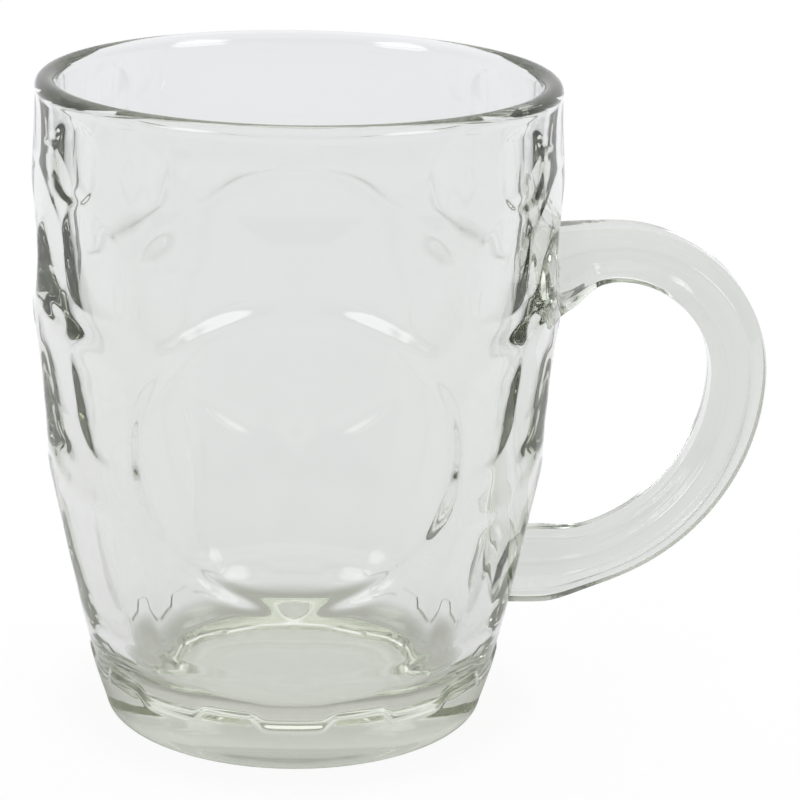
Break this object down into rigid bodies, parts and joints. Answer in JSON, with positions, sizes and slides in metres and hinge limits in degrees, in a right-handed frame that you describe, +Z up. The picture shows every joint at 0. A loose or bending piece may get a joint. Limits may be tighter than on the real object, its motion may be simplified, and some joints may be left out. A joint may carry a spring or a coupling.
{
  "type": "glass beer mug",
  "caption": "Barrel-shaped pressed glass beer mug with rows of moulded cells, a round panel at front and back, a thick base and a fused loop handle.",
  "frame": {"origin": "centre of the base, on the axis of the bowl, where the mug stands on the table", "axes": "+Z up along the axis of the bowl, +X towards the handle, and the two round panels face -Y and +Y"},
  "size_m": [0.1115, 0.08, 0.099],
  "materials": {
    "bowl_glass": "clear pressed glass with a faint green tint",
    "handle_glass": "clear pressed glass with a faint green tint"
  },
  "bodies": {
    "root": {"glass_bowl": "bowl_glass", "handle": "handle_glass"}
  },
  "joints": []
}
